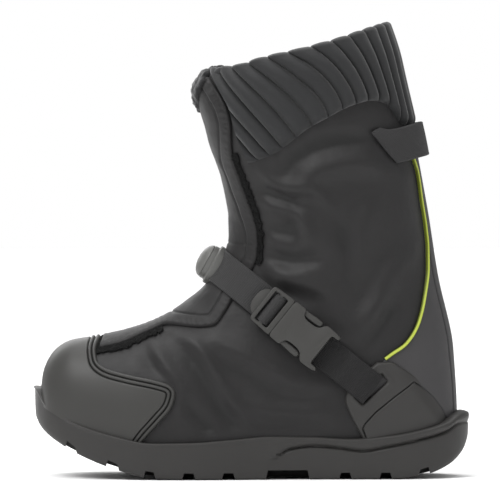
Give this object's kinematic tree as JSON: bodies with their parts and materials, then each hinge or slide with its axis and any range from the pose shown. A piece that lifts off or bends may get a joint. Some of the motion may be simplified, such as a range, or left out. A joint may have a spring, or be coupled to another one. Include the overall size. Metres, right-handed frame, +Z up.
{
  "type": "winter overshoe",
  "caption": "High winter overshoe for the left foot with a lugged cup sole, moulded toe cap, quilted collar and a buckled instep strap.",
  "frame": {"origin": "on the floor under the middle of the shoe's length and width", "axes": "+X towards the heel, -X towards the toe, -Y towards the outer side with the buckle, +Z up through the leg opening"},
  "size_m": [0.332, 0.1233, 0.3465],
  "materials": {
    "nylon": "coated woven nylon, soft sheen",
    "quilted": "quilted nylon over foam",
    "rubber": "moulded, fine matte grain",
    "counter": "rubber-coated fabric, matte",
    "felt": "needled felt",
    "piping": "bright yellow-green reflective cord",
    "webbing": "woven webbing",
    "plastic": "moulded acetal",
    "guide_plastic": "moulded plastic, lighter grey"
  },
  "bodies": {
    "root": {"upper": "nylon", "insole": "felt", "outsole": "rubber", "toe_cap": "rubber", "heel_counter": "counter", "front_flap": "nylon", "strap_wing_outer": "rubber", "strap_wing_inner": "rubber", "collar": "quilted", "pull_tab": "webbing", "piping_outer": "piping", "piping_inner": "piping", "strap_front": "webbing", "strap_tail": "webbing", "buckle_plug": "plastic", "buckle_socket": "plastic", "strap_guide": "guide_plastic"}
  },
  "joints": []
}
